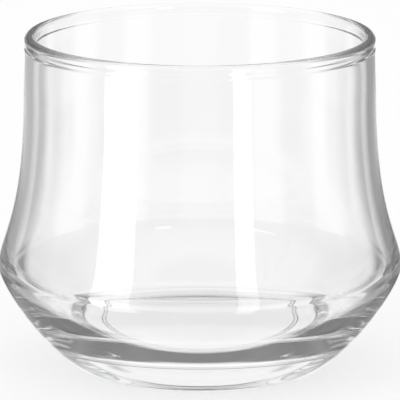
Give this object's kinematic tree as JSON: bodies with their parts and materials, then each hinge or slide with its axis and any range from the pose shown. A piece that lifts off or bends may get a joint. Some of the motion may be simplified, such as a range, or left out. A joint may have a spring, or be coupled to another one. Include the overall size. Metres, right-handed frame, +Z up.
{
  "type": "drinking glass",
  "caption": "Clear drinking tumbler with a rounded lip, a straight neck, a wide low belly and a thick base, open at the top to hold a cold drink.",
  "frame": {"origin": "centre of the foot ring, on the surface that the glass stands on", "axes": "+Z up along the axis of the glass, from the base to the open mouth; the glass is round, so X and Y are alike"},
  "size_m": [0.092, 0.092, 0.0765],
  "materials": {
    "clear_glass": "clear, colourless soda-lime glass, fire-polished and glossy"
  },
  "bodies": {
    "root": {"base": "clear_glass", "lower_bowl": "clear_glass", "upper_bowl": "clear_glass", "neck_wall": "clear_glass", "rim_lip": "clear_glass"}
  },
  "joints": []
}
